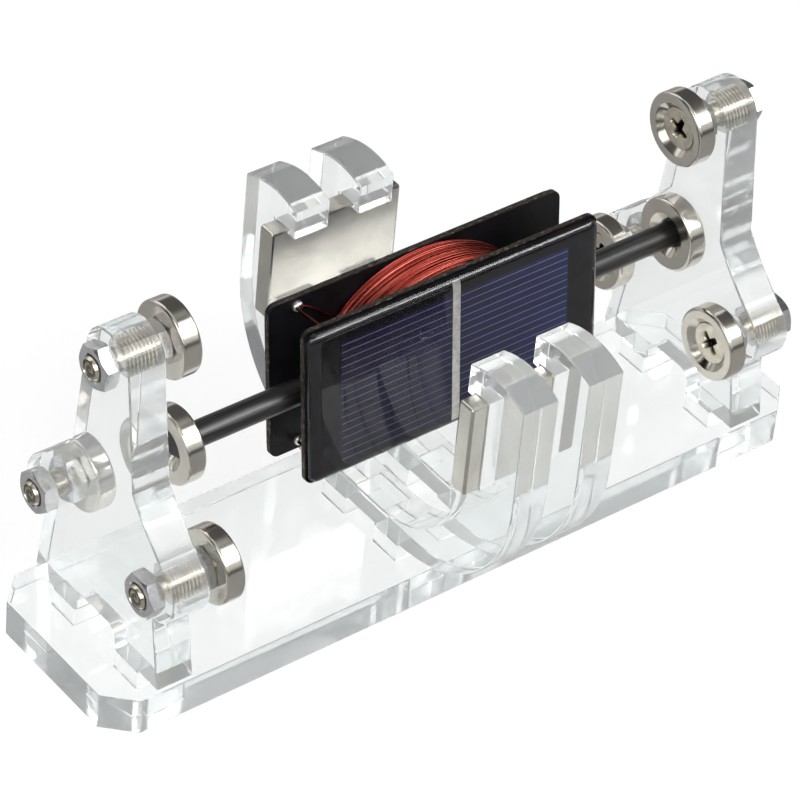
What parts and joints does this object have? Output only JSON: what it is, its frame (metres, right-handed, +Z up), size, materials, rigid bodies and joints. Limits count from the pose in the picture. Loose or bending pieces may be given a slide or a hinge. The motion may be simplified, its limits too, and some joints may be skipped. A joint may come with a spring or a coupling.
{
  "type": "levitating solar motor",
  "caption": "Demonstration electric motor: a magnetically levitated shaft with two solar panels and a copper coil, on a clear acrylic stand with ring and bar magnets.",
  "frame": {"origin": "the centre of the base plate's underside, on the surface the motor stands on", "axes": "+X runs along the shaft towards the upright that the shaft's pointed tip leans on; +Z is up; +Y points away from the viewer of the picture"},
  "size_m": [0.163, 0.083, 0.078],
  "materials": {
    "acrylic": "clear cast acrylic, polished faces and cut edges",
    "nickel": "bright nickel plating, slightly warm",
    "zinc": "bright zinc-plated steel",
    "dark_rod": "satin dark rod",
    "core_plastic": "dark plastic",
    "copper": "red enamelled copper wire",
    "circuit_board": "black solder mask, brown cut edge",
    "solar_cell": "dark blue silicon with fine finger lines",
    "tinned": "tinned metal",
    "resin": "clear glossy resin over the dark panel"
  },
  "bodies": {
    "stand": {"base_plate": "acrylic", "left_upright": "acrylic", "right_upright": "acrylic", "left_cradle": "acrylic", "right_cradle": "acrylic", "front_bar_magnet": "nickel", "back_bar_magnet": "nickel", "left_top_magnet": "nickel", "left_front_magnet": "nickel", "left_back_magnet": "nickel", "right_top_magnet": "nickel", "right_front_magnet": "nickel", "right_back_magnet": "nickel", "left_screws": "zinc", "right_screws": "zinc", "left_inner_nuts": "zinc", "left_outer_nuts": "zinc", "right_inner_nuts": "zinc", "right_outer_nuts": "zinc"},
    "rotor": {"shaft": "dark_rod", "left_rotor_magnet": "nickel", "right_rotor_magnet": "nickel", "coil_core": "core_plastic", "coil": "copper", "front_board": "circuit_board", "back_board": "circuit_board", "front_cell": "solar_cell", "back_cell": "solar_cell", "front_ribbon": "tinned", "back_ribbon": "tinned", "front_cover": "resin", "back_cover": "resin", "front_solder": "tinned", "back_solder": "tinned", "link_wires": "copper"}
  },
  "joints": [
    {"name": "rotor_spin", "type": "hinge", "parent": "stand", "child": "rotor", "pos_m": [0, 0, 0.045], "axis": [1, 0, 0], "continuous": true}
  ]
}
